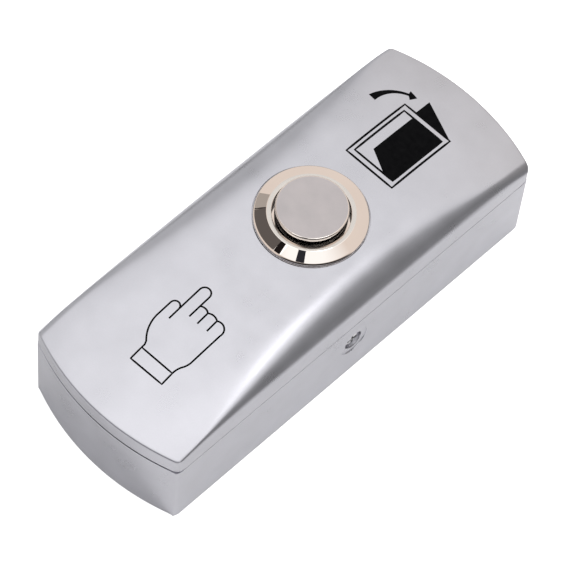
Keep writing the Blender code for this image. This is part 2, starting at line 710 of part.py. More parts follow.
def build_terminal(label, side, axis, brass, silver, steel):
    """One contact with its bent strip, rivet, clamp plate and screw, on one side of the axis."""
    turn = 0 if side > 0 else pi
    outer = strip_leg_y + strip_thickness / 2
    inner = strip_leg_y - strip_thickness / 2
    strip_bottom = strip_top - strip_thickness
    outline = [(strip_inner_end, strip_top), (strip_inner_end, strip_bottom),
               (inner, strip_bottom), (inner, tab_top), (strip_tab_end, tab_top),
               (strip_tab_end, tab_bottom), (outer, tab_bottom), (outer, strip_top)]
    bm = plate(outline, -strip_width / 2, strip_width / 2)
    upright = Matrix(((0, 0, 1), (1, 0, 0), (0, 1, 0)))
    bmesh.ops.transform(bm, matrix=upright.to_4x4(), verts=bm.verts)
    strip = add_object("terminal_" + label, bm, brass, axis, rotation=(0, 0, turn))
    rivet_hole = disc(rivet_shank_radius + rivet_hole_gap, strip_bottom - overlap, strip_top + overcut)
    screw_hole = disc(terminal_shank_radius + fit_gap, tab_bottom - overcut, tab_top + overlap)
    for name, cut, y in (("rivet_hole_cut", rivet_hole, contact_offset),
                         ("screw_hole_cut", screw_hole, terminal_screw_y)):
        combine(strip, add_object(name, cut, parent=axis, location=(0, side * y, 0)), "DIFFERENCE")
    rivet = turned([(0, strip_bottom), (rivet_shank_radius, strip_bottom),
                    (rivet_shank_radius, strip_top + fit_gap), (contact_head_radius, strip_top + fit_gap),
                    (contact_head_radius, fixed_contact_top - contact_edge),
                    (contact_head_radius - 2 * contact_edge, fixed_contact_top), (0, fixed_contact_top)],
                   small_segments)
    add_object("fixed_contact_" + label, rivet, silver, axis, (0, side * contact_offset, 0))
    clamp = block((-strip_width / 2, strip_tab_end, clamp_bottom),
                  (strip_width / 2, 2 * terminal_screw_y - strip_tab_end, clamp_top), clamp_edge)
    clamp_object = add_object("clamp_plate_" + label, clamp, steel, axis, rotation=(0, 0, turn))
    clamp_hole = disc(terminal_shank_radius + fit_gap, clamp_bottom - overcut, clamp_top + overlap)
    combine(clamp_object, add_object("clamp_hole_cut", clamp_hole, parent=axis,
                                     location=(0, side * terminal_screw_y, 0)), "DIFFERENCE")
    tip = base_bottom + terminal_pocket_depth - terminal_pocket_gap
    head_bottom = screw_head_top - terminal_head_height
    profile = [(0, head_bottom), (terminal_head_radius - terminal_head_edge, head_bottom),
               (terminal_head_radius, head_bottom + terminal_head_edge),
               (terminal_head_radius, screw_head_top), (terminal_shank_radius, screw_head_top),
               (terminal_shank_radius, tip - terminal_tip), (terminal_shank_radius - terminal_tip, tip),
               (0, tip)]
    screw = add_object("terminal_screw_" + label, turned(profile, small_segments), steel, axis,
                       (0, side * terminal_screw_y, 0))
    slot = block((-terminal_head_radius - overcut, -driver_slot_width / 2, head_bottom - overcut),
                 (terminal_head_radius + overcut, driver_slot_width / 2, head_bottom + driver_slot_depth))
    combine(screw, add_object("driver_slot_cut", slot, parent=axis,
                              location=(0, side * terminal_screw_y, 0)), "DIFFERENCE")


def main():
    clear_scene()
    satin_zinc = material("satin_zinc", (0.66, 0.66, 0.68), 0.9, 0.38)
    inner_zinc = material("cast_zinc", (0.55, 0.55, 0.56), 0.85, 0.5)
    bright_steel = material("bright_steel", (0.78, 0.75, 0.72), 1.0, 0.12)
    satin_steel = material("satin_steel", (0.62, 0.58, 0.58), 1.0, 0.35)
    plated_steel = material("plated_steel", (0.6, 0.6, 0.6), 1.0, 0.3)
    spring_steel = material("spring_steel", (0.5, 0.5, 0.5), 1.0, 0.3)
    black_plastic = material("black_plastic", (0.02, 0.02, 0.02), 0.0, 0.5)
    white_plastic = material("white_plastic", (0.8, 0.8, 0.76), 0.0, 0.45)
    rubber = material("black_rubber", (0.01, 0.01, 0.01), 0.0, 0.8)
    brass = material("brass", (0.75, 0.55, 0.25), 1.0, 0.3)
    copper = material("copper", (0.8, 0.45, 0.3), 1.0, 0.3)
    silver = material("contact_silver", (0.8, 0.8, 0.8), 1.0, 0.25)
    build_base_box(satin_zinc)
    build_cover(satin_zinc)
    build_side_screws(plated_steel)
    axis = add_empty("switch_axis", (0, button_y, seat_height))
    press = add_empty("press_axis", (0, 0, 0), axis)
    build_switch_body(axis, bright_steel, rubber, inner_zinc)
    build_guide(axis, black_plastic, spring_steel)
    build_button(press, satin_steel, white_plastic, spring_steel, copper)
    build_switch_base(axis, black_plastic)
    build_terminal("common", -1, axis, brass, silver, plated_steel)
    build_terminal("open", 1, axis, brass, silver, plated_steel)


main()
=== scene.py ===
# %% [markdown]
# A door exit button: a die-cast box on the wall, a crowned cover over it, and a turned metal push
# switch in the cover. Pressing the cap opens the door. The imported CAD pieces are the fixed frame,
# in metres, with the wall at z = 0 and the button's travel along z. This lesson dresses that frame:
# first the camera and the light, then the big castings, then the switch, the screws and the prints.

# %% Load the frame and keep its size
import bpy
from math import atan2, copysign, cos, pi, radians, sin, sqrt
from mathutils import Matrix, Vector


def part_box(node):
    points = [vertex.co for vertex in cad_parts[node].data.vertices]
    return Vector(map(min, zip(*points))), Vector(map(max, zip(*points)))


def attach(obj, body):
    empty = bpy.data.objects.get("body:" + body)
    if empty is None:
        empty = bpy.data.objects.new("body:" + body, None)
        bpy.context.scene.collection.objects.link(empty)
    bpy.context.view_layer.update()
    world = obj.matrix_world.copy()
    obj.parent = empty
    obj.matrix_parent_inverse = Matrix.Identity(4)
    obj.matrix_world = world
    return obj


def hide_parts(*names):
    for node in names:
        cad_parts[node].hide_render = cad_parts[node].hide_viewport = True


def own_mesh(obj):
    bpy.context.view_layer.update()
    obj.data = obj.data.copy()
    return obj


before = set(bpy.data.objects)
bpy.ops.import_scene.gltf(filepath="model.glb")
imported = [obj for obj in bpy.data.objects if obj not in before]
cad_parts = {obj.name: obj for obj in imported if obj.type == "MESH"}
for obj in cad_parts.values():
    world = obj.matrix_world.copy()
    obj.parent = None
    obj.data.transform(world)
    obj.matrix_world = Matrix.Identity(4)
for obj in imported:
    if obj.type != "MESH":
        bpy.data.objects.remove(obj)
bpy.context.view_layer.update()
MM = 0.001
HAIR = 0.001 * MM

# %% [markdown]
# The camera repeats the view that the housing's edges gave: high over the near end and turned so
# that the button lies across the picture. A long lens from half a metre keeps the sides parallel.

# %% Camera
camera_data = bpy.data.cameras.new("camera")
camera_data.lens = 213.6
camera_data.sensor_width = 36.0
camera_data.clip_start = 0.01
camera = bpy.data.objects.new("camera", camera_data)
bpy.context.collection.objects.link(camera)
camera.location = (0.16936, -0.20384, 0.46278)
camera.rotation_euler = (0.52453, -0.05673, 0.79327)
bpy.context.scene.camera = camera
bpy.context.scene.view_settings.view_transform = "Standard"
print("camera at", tuple(round(v, 3) for v in camera.location))

# %% [markdown]
# The world, the floor and every finish are trees of nodes. Three helpers keep such a tree short to
# write. One adds a node with its properties set. One fills a socket: with a link where it is given
# another node's output, and with a plain value otherwise. The last carries a value from one range
# to another, which is how a mask becomes a grey level or a roughness.

# %% Node helpers
def add_node(tree, kind, **settings):
    node = tree.nodes.new("ShaderNode" + kind)
    for name, value in settings.items():
        setattr(node, name, value)
    return node


def feed(socket, value):
    """Link an output to a socket, or type a plain value into it."""
    if hasattr(value, "is_linked"):
        socket.id_data.links.new(value, socket)
    else:
        socket.default_value = value


def rescale(tree, value, from_range, to_range):
    """Carry a value from one range to another, held at the ends."""
    span = add_node(tree, "MapRange")
    feed(span.inputs["Value"], value)
    for name, number in zip(("From Min", "From Max", "To Min", "To Max"), (*from_range, *to_range)):
        feed(span.inputs[name], number)
    return span.outputs["Result"]


WHITE = (1, 1, 1, 1)
print("node helpers: add_node, feed, rescale")

# %% [markdown]
# Metal shows what stands around it, so the surroundings are the real paint job. They could be models
# of a studio, but a world made of a few ramps is quicker to change. The direction of a ray is split
# into three parts: across, along and up. Each ramp turns one of them into grey levels, and mixing
# lays one ramp over another on one side only.

# %% World
world = bpy.data.worlds.new("studio")
bpy.context.scene.world = world
world.use_nodes = True
sky = world.node_tree
direction = add_node(sky, "TexCoord").outputs["Generated"]
direction_parts = add_node(sky, "SeparateXYZ")
feed(direction_parts.inputs[0], direction)
sky_across, sky_along, sky_up = (direction_parts.outputs[axis] for axis in "XYZ")


def sky_ramp(source, stops):
    """Grey levels along one part of the direction, which runs from -1 to 1."""
    ramp = add_node(sky, "ValToRGB")
    feed(ramp.inputs[0], rescale(sky, source, (-1, 1), (0, 1)))
    elements = ramp.color_ramp.elements
    while len(elements) < len(stops):
        elements.new(0.5)
    for stop, (place, level) in zip(elements, stops):
        stop.position = (place + 1) / 2
        stop.color = (level, level, level, 1)
    return ramp.outputs["Color"]


def sky_lean(way):
    """How far the direction leans this way, from -1 to 1."""
    lean = add_node(sky, "VectorMath", operation="DOT_PRODUCT")
    feed(lean.inputs[0], direction)
    feed(lean.inputs[1], way)
    return lean.outputs["Value"]


def sky_mix(factor, under, over, blend="MIX"):
    """Lay one colour over another, where each may be a value or an output."""
    mix = add_node(sky, "Mix", data_type="RGBA", blend_type=blend)
    factor_slot, under_slot, over_slot, colour_out = 0, 6, 7, 2
    feed(mix.inputs[factor_slot], factor)
    feed(mix.inputs[under_slot], under)
    feed(mix.inputs[over_slot], over)
    return mix.outputs[colour_out]


print("parts of the direction:", len(direction_parts.outputs))

# %% [markdown]
# A photographer hangs a broad white cloth overhead and leaves the room dim near the floor. The cloth
# is brightest straight above. The dim room shows only towards the right of the picture, where it
# gives the shoulder of the cover its dark band. The far end looks into warmer light, the left side at
# a grey wall, and the near end into a dark corner, so each side of the housing gets its own tone.

# %% Cloth, room and walls
cloth = sky_ramp(sky_up, [(-1, 0.6), (0.0, 0.6), (0.5, 0.56), (0.57, 0.64), (0.67, 0.8),
                          (0.78, 0.88), (0.88, 0.93), (0.97, 0.98)])
room = sky_ramp(sky_up, [(-1, 0.3), (0.0, 0.22), (0.3, 0.22), (0.7, 0.28), (1, 0.3)])
left_wall = sky_ramp(sky_up, [(-1, 0.66), (0.0, 0.66), (0.12, 0.58), (0.28, 0.52), (0.5, 0.48),
                              (0.6, 0.55), (0.7, 0.84)])
warm_light = (1.28, 1.22, 1.16, 1)
dark_corner = (0.22, 0.22, 0.24, 1)

picture_right = sky_ramp(sky_lean((0.743, 0.669, 0)), [(0.44, 0), (0.56, 1)])
right_side = sky_ramp(sky_across, [(-0.15, 0), (0.05, 1)])
far_side = sky_ramp(sky_along, [(0.58, 0), (0.9, 1)])
left_side = sky_ramp(sky_across, [(-0.75, 1), (-0.6, 0)])
near_side = sky_ramp(sky_along, [(-0.85, 1), (-0.55, 0)])

light = sky_mix(sky_mix(1.0, picture_right, right_side, "MULTIPLY"), cloth, room)
light = sky_mix(far_side, light, sky_mix(1.0, light, warm_light, "MULTIPLY"))
light = sky_mix(left_side, light, left_wall)
light = sky_mix(near_side, light, dark_corner)
print("the world has", len(sky.nodes), "nodes")

# %% [markdown]
# Polished nickel needs something to mirror, or it looks like plaster. Light Path calls a ray singular
# when it comes from a mirror-sharp face. Those rays alone see a beige studio with a dark patch in
# front, and the satin zinc round the switch keeps its calm greys. The camera sees plain white.

# %% What polished metal mirrors
beige, ceiling = (0.76, 0.67, 0.61, 1), (1.06, 1.05, 1.04, 1)
dark_patch = (0.04, 0.035, 0.035, 1)
mirrored = sky_mix(sky_ramp(sky_up, [(0.84, 0), (0.95, 1)]), beige, ceiling)
front_side = sky_ramp(sky_lean((0.8, -0.6, 0)), [(0.45, 0), (0.6, 1)])
mirrored = sky_mix(front_side, mirrored, dark_patch)
rays = add_node(sky, "LightPath")
light = sky_mix(rays.outputs["Is Singular Ray"], light, mirrored)
light = sky_mix(rays.outputs["Is Camera Ray"], light, WHITE)
feed(sky.nodes["Background"].inputs["Color"], light)
print("and now it has", len(sky.nodes))

# %% [markdown]
# The floor is a pale sheet of card, wide enough to fill the picture. The camera sees it white all
# over. To every other ray it is pale only near the object and dark further out, because the foot of
# the cover's shoulder mirrors the far floor, and that is a dark line in the photo. The pale patch is
# twice as long as wide, along the housing, and lies a little to the left, where the shoulder is paler.

# %% Floor
def nothing_selected():
    bpy.ops.object.select_all(action="DESELECT")


floor_grey, far_grey = 0.8, 0.2
patch_edge = (0.055, 0.08)
patch_to_left = 0.025
floor_drop = 0.02 * MM
nothing_selected()
bpy.ops.mesh.primitive_plane_add(size=2.4, location=(0, 0, -floor_drop))
floor = bpy.context.object
floor.name = "floor"
floor_card = bpy.data.materials.new("floor_card")
floor_card.use_nodes = True
tree = floor_card.node_tree
shader = tree.nodes["Principled BSDF"]
squeeze = add_node(tree, "VectorMath", operation="MULTIPLY_ADD")
feed(squeeze.inputs[0], add_node(tree, "TexCoord").outputs["Object"])
feed(squeeze.inputs[1], (1, 0.5, 0))
feed(squeeze.inputs[2], (patch_to_left, 0, 0))
distance = add_node(tree, "VectorMath", operation="LENGTH")
feed(distance.inputs[0], squeeze.outputs["Vector"])
glow = add_node(tree, "Math", operation="MULTIPLY")
feed(glow.inputs[0], add_node(tree, "LightPath").outputs["Is Camera Ray"])
feed(glow.inputs[1], floor_grey)
paler = add_node(tree, "Math", operation="MAXIMUM")
feed(paler.inputs[0], rescale(tree, distance.outputs["Value"], patch_edge, (floor_grey, far_grey)))
feed(paler.inputs[1], glow.outputs[0])
feed(shader.inputs["Base Color"], paler.outputs[0])
feed(shader.inputs["Emission Color"], WHITE)
feed(shader.inputs["Emission Strength"], glow.outputs[0])
feed(shader.inputs["Roughness"], 0.9)
floor.data.materials.append(floor_card)
print("floor", tuple(round(v, 2) for v in floor.dimensions), "m")

# %% [markdown]
# Three soft lamps help the world. The big one whitens the floor, and is kept out of reflections. The
# two small ones hang over the cover and are weak. They lift the glow along its crown.

# %% Lamps
def hang_lamp(name, location, size, power):
    """A square soft lamp that looks at the middle of the object."""
    data = bpy.data.lights.new(name, "AREA")
    data.size = size
    data.energy = power
    lamp = bpy.data.objects.new(name, data)
    bpy.context.collection.objects.link(lamp)
    lamp.location = location
    lamp.rotation_euler = Vector(location).to_track_quat("Z", "Y").to_euler()
    print(name, power, "W")
    return lamp


floor_lamp = hang_lamp("floor_lamp", (0.4, 0.35, 0.62), 0.25, 3.0)
floor_lamp.visible_glossy = False
hang_lamp("key_lamp", (0.018, 0.07, 0.37), 0.07, 0.033)
hang_lamp("near_lamp", (-0.035, -0.035, 0.207), 0.05, 0.003)

# %% [markdown]
# Every metal here is built the same way: a Principled shader with a metallic surface, whose colour,
# roughness and bump vary a little, because cast, turned and plated metal is never even. The variation
# comes from one shared node group, so each finish only sets its own scale and strength. The group
# puts out a shade and a height. The material turns the height into bump.

# %% Shared grain group
fine_share, broad_share = 0.2, 0.8
grain = bpy.data.node_groups.new("metal_grain", "ShaderNodeTree")
for label, kind in (("Place", "Vector"), ("Fine Scale", "Float"), ("Broad Scale", "Float")):
    grain.interface.new_socket(name=label, in_out="INPUT", socket_type="NodeSocket" + kind)
for label in ("Shade", "Height"):
    grain.interface.new_socket(name=label, in_out="OUTPUT", socket_type="NodeSocketFloat")
group_in = grain.nodes.new("NodeGroupInput")
group_out = grain.nodes.new("NodeGroupOutput")
fine = add_node(grain, "TexNoise")
broad = add_node(grain, "TexNoise")
for noise, label, detail in ((fine, "Fine Scale", 3.0), (broad, "Broad Scale", 2.0)):
    feed(noise.inputs["Detail"], detail)
    feed(noise.inputs["Vector"], group_in.outputs["Place"])
    feed(noise.inputs["Scale"], group_in.outputs[label])
broad_part = add_node(grain, "Math", operation="MULTIPLY")
feed(broad_part.inputs[0], broad.outputs["Fac"])
feed(broad_part.inputs[1], broad_share)
blend = add_node(grain, "Math", operation="MULTIPLY_ADD")
feed(blend.inputs[0], fine.outputs["Fac"])
feed(blend.inputs[1], fine_share)
feed(blend.inputs[2], broad_part.outputs[0])
feed(group_out.inputs["Shade"], blend.outputs[0])
feed(group_out.inputs["Height"], fine.outputs["Fac"])
print("group sockets:", [item.name for item in grain.interface.items_tree])

# %% [markdown]
# A finish is a named recipe: two colours to drift between, two roughness values, the sizes of the
# grain, and how deep the bump is. Plastics and rubber use the same recipe with the metallic value at
# zero. Reading Object coordinates keeps the pattern fixed to the piece when it moves.

# %% Finish recipe
shade_range = (0.3, 0.7)


def finish(name, dark, light, rough, grain_sizes, bump, metallic=1.0, ior=1.45):
    """A grainy surface. Rough is (least, most), and grain_sizes (fine, broad) and bump are in mm."""
    paint = bpy.data.materials.new(name)
    paint.use_nodes = True
    tree = paint.node_tree
    shader = tree.nodes["Principled BSDF"]
    feed(shader.inputs["Metallic"], metallic)
    feed(shader.inputs["IOR"], ior)
    group = add_node(tree, "Group", node_tree=grain)
    feed(group.inputs["Place"], add_node(tree, "TexCoord").outputs["Object"])
    for label, size in zip(("Fine Scale", "Broad Scale"), grain_sizes):
        feed(group.inputs[label], 1 / (size * MM))
    tint = add_node(tree, "ValToRGB")
    for stop, place, colour in zip(tint.color_ramp.elements, shade_range, (dark, light)):
        stop.position = place
        stop.color = (*colour, 1)
    feed(tint.inputs[0], group.outputs["Shade"])
    feed(shader.inputs["Base Color"], tint.outputs["Color"])
    feed(shader.inputs["Roughness"], rescale(tree, group.outputs["Shade"], shade_range, rough))
    relief = add_node(tree, "Bump")
    feed(relief.inputs["Strength"], 1.0)
    feed(relief.inputs["Distance"], bump * MM)
    feed(relief.inputs["Height"], group.outputs["Height"])
    feed(shader.inputs["Normal"], relief.outputs["Normal"])
    print("finish", name)
    return paint


satin_zinc = finish("satin_zinc", (0.67, 0.665, 0.71), (0.75, 0.745, 0.795),
                    rough=(0.265, 0.335), grain_sizes=(0.25, 6), bump=0.0009)
polished_nickel = finish("polished_nickel", (0.93, 0.88, 0.84), (0.98, 0.93, 0.89),
                         rough=(0.0, 0.003), grain_sizes=(0.5, 8), bump=0.0002)
turned_nickel = finish("turned_nickel", (0.74, 0.69, 0.64), (0.79, 0.74, 0.69),
                       rough=(0.12, 0.2), grain_sizes=(0.2, 4), bump=0.0006)
satin_steel = finish("satin_steel", (0.55, 0.511, 0.511), (0.63, 0.579, 0.579),
                     rough=(0.3, 0.38), grain_sizes=(0.12, 3), bump=0.0012)
plated_screw = finish("plated_screw", (0.84, 0.84, 0.85), (0.93, 0.93, 0.94),
                      rough=(0.1, 0.18), grain_sizes=(0.3, 2), bump=0.0006)
# The next finish is painted shade: nearly black paint for the inside of the barrel, standing in for the
# shade in the deep gap round the cap.
painted_shade_bore = finish("painted_shade_bore", (0.02, 0.018, 0.017), (0.035, 0.032, 0.03),
                   rough=(0.4, 0.5), grain_sizes=(0.2, 3), bump=0.0003)

# %% [markdown]
# The castings start as blocks and drums that are cut, joined and rounded. These helpers do each of
# those steps as by hand. A Boolean is applied at once, which leaves plain mesh for the next step.

# %% Solid tools
def pick(piece):
    """Select this piece alone and make it active."""
    nothing_selected()
    piece.select_set(True)
    bpy.context.view_layer.objects.active = piece


def enter(mode):
    bpy.ops.object.mode_set(mode=mode)


def apply_modifier(piece, modifier):
    pick(piece)
    bpy.ops.object.modifier_apply(modifier=modifier.name)


def cut(target, tool, operation="DIFFERENCE"):
    """Boolean one piece with another, apply it and throw the tool away."""
    modifier = target.modifiers.new(operation.lower(), "BOOLEAN")
    modifier.operation = operation
    modifier.solver = "EXACT"
    modifier.object = tool
    apply_modifier(target, modifier)
    bpy.data.objects.remove(tool, do_unlink=True)


def settle(piece):
    """Move the place, turn and scale of a piece into its mesh."""
    pick(piece)
    bpy.ops.object.transform_apply(location=True, rotation=True, scale=True)


def select_edges(piece, wanted):
    """Enter edit mode with only the edges selected that pass a test on their two ends."""
    pick(piece)
    enter("EDIT")
    bpy.ops.mesh.select_mode(type="EDGE")
    bpy.ops.mesh.select_all(action="DESELECT")
    enter("OBJECT")
    points = piece.data.vertices
    for edge in piece.data.edges:
        a, b = (points[i].co for i in edge.vertices)
        edge.select = wanted(a, b)
    enter("EDIT")


def round_selected(width, segments):
    bpy.ops.mesh.bevel(offset=width, segments=segments, profile=0.5)
    enter("OBJECT")


def block(name, low_corner, high_corner):
    nothing_selected()
    middle = [(a + b) / 2 for a, b in zip(low_corner, high_corner)]
    size = [b - a for a, b in zip(low_corner, high_corner)]
    bpy.ops.mesh.primitive_cube_add(size=1, location=middle, scale=size)
    piece = bpy.context.object
    piece.name = name
    settle(piece)
    return piece


def drum(name, radius, bottom, top, place=(0, 0), sides=64):
    nothing_selected()
    bpy.ops.mesh.primitive_cylinder_add(vertices=sides, radius=radius, depth=top - bottom,
                                        location=(*place, (top + bottom) / 2))
    piece = bpy.context.object
    piece.name = name
    settle(piece)
    return piece


print("solid tools: cut, settle, select_edges, round_selected, block, drum")

# %% [markdown]
# The housing's outline is a rectangle with gently bowed ends. By hand it is made like this: a block of
# the right width, cut at each end by a huge drum whose curve is the bow, then its four upright corners
# are rounded. These corners are wider than a right angle, and there a bevel has to cut back only a
# share of the radius that it leaves. The cover's lip, the box and its hollow all use this outline,
# each set in by its own amount, so it is one function.

# %% Outline block
half_width, half_length, seam_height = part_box("base_box")[1]
end_bow = 3.0 * MM
bow_radius = (half_width ** 2 + end_bow ** 2) / (2 * end_bow)
bow_centre = half_length - bow_radius
corner_round = 1.3 * MM
least_round = 0.4 * MM
bevel_share = 0.68
wall = 1.8 * MM
floor_thickness = 2.0 * MM


def outline_block(name, inset, bottom, top):
    """The housing's outline set in by inset, as a solid block."""
    x = half_width - inset
    piece = block(name, (-x, -half_length - MM, bottom), (x, half_length + MM, top))
    for end in (-1, 1):
        bow = drum("bow_cutter", bow_radius - inset, bottom - MM, top + MM, (0, end * bow_centre),
                   sides=240)
        cut(piece, bow, "INTERSECT")
    corner_y = bow_centre + sqrt((bow_radius - inset) ** 2 - x ** 2)

    def at_corner(a, b):
        upright = abs(a.x - b.x) < HAIR and abs(a.y - b.y) < HAIR
        return upright and abs(abs(a.x) - x) < 10 * HAIR and abs(abs(a.y) - corner_y) < 20 * HAIR

    select_edges(piece, at_corner)
    round_selected(max(bevel_share * (corner_round - inset), least_round), 6)
    return piece


box = outline_block("box", 0.0, 0.0, seam_height)
print("outline block", tuple(round(v / MM, 2) for v in box.dimensions), "mm")

# %% [markdown]
# Screws, the switch and the seats they sit in are all turned shapes. On a lathe every face is a line in
# an outline, so a point is walked round that outline by extruding it, and the outline is spun about z.
# The points are written in millimetres, as (radius, height).

# %% Turning on a lathe
def walk(name, places):
    """Walk one point along a line of places, leaving an edge behind it."""
    nothing_selected()
    bpy.ops.mesh.primitive_plane_add(size=MM, location=(0, 0, 0))
    piece = bpy.context.object
    piece.name = name
    enter("EDIT")
    bpy.ops.mesh.select_mode(type="VERT")
    bpy.ops.mesh.merge(type="CENTER")
    bpy.ops.transform.translate(value=places[0])
    for before, after in zip(places, places[1:]):
        step = tuple(b - a for a, b in zip(before, after))
        bpy.ops.mesh.extrude_region_move(TRANSFORM_OT_translate={"value": step})
    enter("OBJECT")
    return piece


def join_ends(piece):
    """Close a walked line by an edge between its two free ends, and stay in edit mode."""
    uses = [0] * len(piece.data.vertices)
    for edge in piece.data.edges:
        for index in edge.vertices:
            uses[index] += 1
    enter("EDIT")
    bpy.ops.mesh.select_mode(type="VERT")
    bpy.ops.mesh.select_all(action="DESELECT")
    enter("OBJECT")
    for vertex in piece.data.vertices:
        vertex.select = uses[vertex.index] == 1
    enter("EDIT")
    bpy.ops.mesh.edge_face_add()
    bpy.ops.mesh.select_all(action="SELECT")


def turned(name, outline, steps=96):
    """Spin a closed outline of (radius, height) in millimetres about z."""
    piece = walk(name, [(radius * MM, 0, height * MM) for radius, height in outline])
    join_ends(piece)
    bpy.ops.mesh.spin(steps=steps, angle=2 * pi, center=(0, 0, 0), axis=(0, 0, 1))
    bpy.ops.mesh.select_all(action="SELECT")
    bpy.ops.mesh.remove_doubles(threshold=2 * HAIR)
    bpy.ops.mesh.delete_loose(use_verts=True, use_edges=True, use_faces=False)
    bpy.ops.mesh.select_all(action="SELECT")
    bpy.ops.mesh.normals_make_consistent(inside=False)
    enter("OBJECT")
    print("turned", name, "from", len(outline), "points")
    return piece


# %% [markdown]
# The last helpers ease sharp edges, shade round faces smoothly, and dress a piece. Dressing says which
# CAD pieces it stands for, and ties it to the body that it moves with.

# %% Easing, smoothing and dressing
def soften(piece, width, segments, limit):
    """Ease every edge that is sharper than the limit, as tumbling and plating do."""
    modifier = piece.modifiers.new("ease", "BEVEL")
    modifier.width = width
    modifier.segments = segments
    modifier.limit_method = "ANGLE"
    modifier.angle_limit = radians(limit)
    apply_modifier(piece, modifier)


def smooth(piece, limit=30):
    """Shade smooth up to this angle in degrees, with large faces kept flat."""
    pick(piece)
    bpy.ops.object.shade_smooth_by_angle(angle=radians(limit))
    modifier = piece.modifiers.new("even_faces", "WEIGHTED_NORMAL")
    modifier.keep_sharp = True
    modifier.weight = 50
    apply_modifier(piece, modifier)


def dress(piece, paint, slot, body, *nodes):
    """Give a piece its finish, the nodes it replaces and the body it rides on. The slot is not used."""
    piece.data.materials.clear()
    piece.data.materials.append(paint)
    if nodes:
        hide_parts(*nodes)
    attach(piece, body)
    print(piece.name, len(piece.data.polygons), "faces on", body)


# %% [markdown]
# The box is the outline block, hollowed. Its foot and its upper edge are eased, so they catch a thin
# line of light. Two pads inside the long walls take the sunk heads of the side screws. The back has a
# round cable hole and two countersunk holes for the wall screws. On the real box all this is cast or
# drilled. Here each form is its own cut or union, so each can be changed alone.

# %% Box
screw_y = -0.4 * MM
screw_z = seam_height - 5.0 * MM
lip_bottom = seam_height - 2.2 * MM
foot_round, seam_round = 0.4 * MM, 0.07 * MM
pad_half, pad_depth = 3.4 * MM, 1.0 * MM
fixing_pitch = 60 * MM
cable_y, cable_radius = -14 * MM, 5 * MM
# For the lathe, in millimetres
screw_hole, head_hole, seat_ring, seat_depth = 1.25, 1.75, 2.86, 0.12
sink_hole, sink_mouth = 2.2, 4.2

select_edges(box, lambda a, b: max(a.z, b.z) < HAIR)
round_selected(foot_round, 3)
select_edges(box, lambda a, b: min(a.z, b.z) > seam_height - HAIR)
round_selected(seam_round, 2)
cut(box, outline_block("hollow", wall, floor_thickness, seam_height + MM))
for side in (-1, 1):
    pad_x = sorted((side * (half_width - wall - pad_depth), side * (half_width - wall / 2)))
    pad = block("pad", (pad_x[0], screw_y - pad_half, screw_z - pad_half),
                (pad_x[1], screw_y + pad_half, lip_bottom - 0.25 * MM))
    cut(box, pad, "UNION")
for side in (-1, 1):
    seat = turned("seat", [
        (0, -4), (screw_hole, -4), (screw_hole, -1.6), (head_hole, -1.6), (head_hole, -0.2),
        (head_hole + 0.08, -seat_depth), (seat_ring - 0.06, -seat_depth), (seat_ring, 0),
        (seat_ring, 1), (0, 1)], steps=64)
    seat.rotation_euler = (0, side * pi / 2, 0)
    seat.location = (side * half_width, screw_y, screw_z)
    settle(seat)
    cut(box, seat)
    sink = turned("sink", [(0, -1), (sink_hole, -1), (sink_hole, 0.8), (sink_mouth, 2.8),
                           (sink_mouth, 4), (0, 4)], steps=48)
    sink.location = (0, side * fixing_pitch / 2, 0)
    settle(sink)
    cut(box, sink)
cut(box, drum("cable_hole", cable_radius, -MM, floor_thickness + 2 * MM, (0, cable_y)))
smooth(box)
dress(box, satin_zinc, "satin_zinc", "housing", "base_box")

# %% [markdown]
# The cover's crown is an arch over the length that melts into a rounded shoulder on each side. The
# melt is tight near the ends and fades out beside the switch. Cutting two shapes with a Boolean leaves
# ragged faces just where the light is most critical, so the crown takes its height from a formula.
# Arch and shoulder are both numbers from 0 at the rim to 1 at the top, and they are combined so that
# the lower one wins, softly. The shoulder is tighter on the right, as the highlight in the photo asks.
# Towards the four corners the long edges fall a little and then roll over, each corner by its own
# amount, as polishing by hand leaves them.

# %% Crown formula
switch_low, switch_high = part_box("switch_barrel")
switch_y = (switch_low[1] + switch_high[1]) / 2
# For the lathe, in millimetres
flange_height = 1.8
seat_height = switch_high[2] - flange_height * MM
rim_height = seam_height + 3.7 * MM
crown_rise = 4.1 * MM
left_shoulder, right_shoulder = 7.5 * MM, 5.6 * MM
melt = 3.0
fall_width = 6.0 * MM
corner_falls = {("far", "right"): (0.1 * MM, 1.5 * MM), ("far", "left"): (0.1 * MM, 0.7 * MM),
                ("near", "right"): (0.1 * MM, 0.4 * MM), ("near", "left"): (0.35 * MM, 1.5 * MM)}


def end_reach(x, inset):
    """How far out along y the bowed end lies at this x."""
    return bow_centre + sqrt((bow_radius - inset) ** 2 - x ** 2)


def crown_height(x, y, inset):
    """The height of the crown over a place, for the outside or set in by a wall."""
    to_end = end_reach(x, inset) - copysign(switch_y, y - switch_y)
    shoulder = right_shoulder if x > 0 else left_shoulder
    out = (abs(x) - half_width + shoulder) / (shoulder - inset)
    arch = 1 - min(1.0, abs(y - switch_y) / to_end) ** 2
    side = sqrt(1 - min(1.0, max(0.0, out)) ** 2)
    rim = rim_height - inset
    if inset == 0:
        fall, roll = corner_falls["far" if y > switch_y else "near", "right" if x > 0 else "left"]
        from_edge = half_width - abs(x)
        rim -= fall * (1 - arch) * max(0.0, 1 - from_edge / fall_width) ** 2
        outward = min(1.0, max(0.0, 1 - from_edge / roll))
        rim -= roll * (1 - arch) * (1 - sqrt(1 - outward ** 2))
    if min(arch, side) < 0.001:
        return rim
    soft = (arch ** -melt + side ** -melt - 1) ** (-1 / melt)
    return rim + crown_rise * soft


print("crown", [round(crown_height(0, y * MM, 0) / MM, 1) for y in (-40, 0, 40)], "mm high")

# %% [markdown]
# The crown is a flat grid whose points are moved to that height. Its lines are dense over the shoulders
# and at the ends, where the surface turns fastest. Points that lie out in a corner are pulled in onto
# the corner's rounding, and the last rows roll over the rim. Then the outer loop is extruded down
# to the seam and filled, which makes the grid a closed block.

